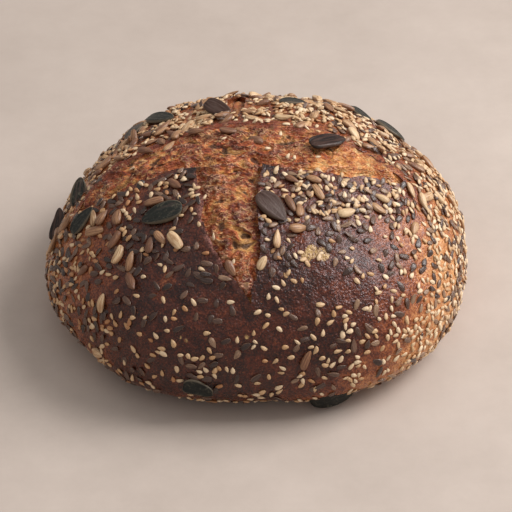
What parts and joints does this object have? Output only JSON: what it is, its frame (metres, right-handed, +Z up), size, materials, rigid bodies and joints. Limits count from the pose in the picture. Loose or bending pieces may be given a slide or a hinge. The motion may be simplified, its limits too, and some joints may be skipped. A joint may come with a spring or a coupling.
{
  "type": "seeded grain bread loaf",
  "caption": "Round hearth-baked grain loaf with a low domed crust, a wide cross-shaped score torn open over rough crumb, and a scatter of mixed seeds.",
  "frame": {"origin": "middle of the flat underside, under the middle of the loaf's box", "axes": "+Z up, +X to the loaf's right along its longest extent, -Y to the front, where the front arm of the score runs down"},
  "size_m": [0.1647, 0.1558, 0.0728],
  "materials": {
    "crust": "satin",
    "torn_crumb": "matte",
    "pumpkin_seed": "satin",
    "sunflower_kernel": "matte",
    "sesame_seed": "satin",
    "linseed": "gloss"
  },
  "bodies": {
    "root": {"loaf": "crust"}
  },
  "joints": []
}
